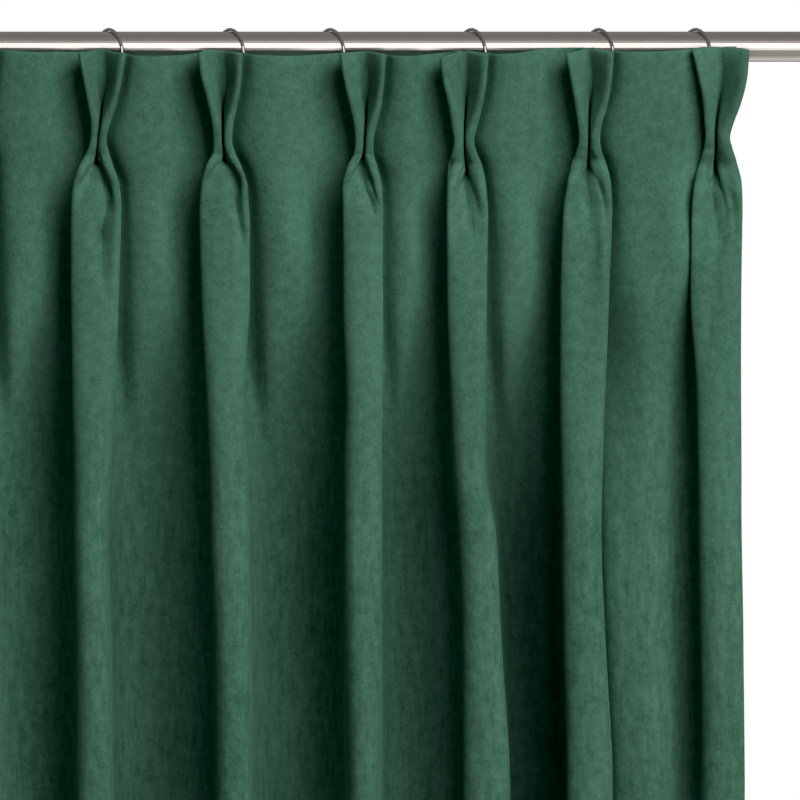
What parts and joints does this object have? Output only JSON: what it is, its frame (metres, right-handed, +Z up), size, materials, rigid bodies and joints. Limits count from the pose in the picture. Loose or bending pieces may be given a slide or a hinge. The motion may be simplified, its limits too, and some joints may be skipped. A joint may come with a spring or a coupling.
{
  "type": "chenille curtain on a rod with rings",
  "caption": "Long chenille curtain with a double pinch pleat heading, hung in uneven folds by hooks and round metal rings on a plain steel rod.",
  "frame": {"origin": "on the rod's axis, over the middle of the curtain's width", "axes": "+X along the rod, to the right as seen from the room; -Y towards the room; +Z up"},
  "size_m": [0.8686, 0.0895, 2.5171],
  "materials": {
    "chenille": "green chenille with a short soft pile, its nap brushed unevenly",
    "nickel": "satin, brushed along the rod",
    "wire": "smooth bright wire"
  },
  "bodies": {
    "root": {"curtain": "chenille", "rod": "nickel", "rod_cap_left": "nickel", "rod_cap_right": "nickel", "ring_1": "wire", "ring_2": "wire", "ring_3": "wire", "ring_4": "wire", "ring_5": "wire", "ring_6": "wire", "ring_7": "wire", "hook_1": "wire", "hook_2": "wire", "hook_3": "wire", "hook_4": "wire", "hook_5": "wire", "hook_6": "wire", "hook_7": "wire"}
  },
  "joints": []
}
